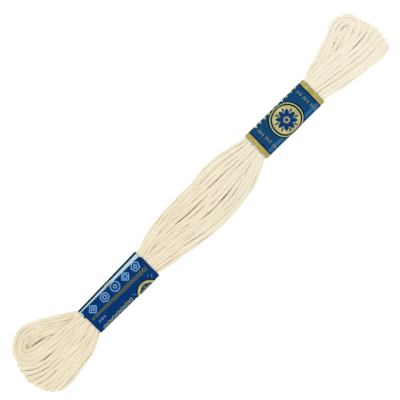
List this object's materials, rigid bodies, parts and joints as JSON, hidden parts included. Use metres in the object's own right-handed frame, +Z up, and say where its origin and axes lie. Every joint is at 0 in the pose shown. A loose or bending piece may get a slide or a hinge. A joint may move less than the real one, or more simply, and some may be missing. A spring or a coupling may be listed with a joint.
{
  "type": "hank of embroidery floss",
  "caption": "Pull skein of six-strand cotton floss lying flat: a pressed bundle held by paper bands, with a leaning fan of loops and its eye at each end.",
  "frame": {"origin": "on the table, under the middle of the hank's box", "axes": "+X along the hank, from the wide fan of loops to the narrow one; +Y the side that both fans open towards; +Z up from the table"},
  "size_m": [0.1649, 0.0246, 0.0083],
  "materials": {
    "cotton_floss": "soft sheen of mercerised cotton",
    "lower_band_paper": "coated paper, satin",
    "upper_band_paper": "coated paper, satin"
  },
  "bodies": {
    "root": {"floss_hank": "cotton_floss", "lower_band": "lower_band_paper", "upper_band": "upper_band_paper"}
  },
  "joints": []
}
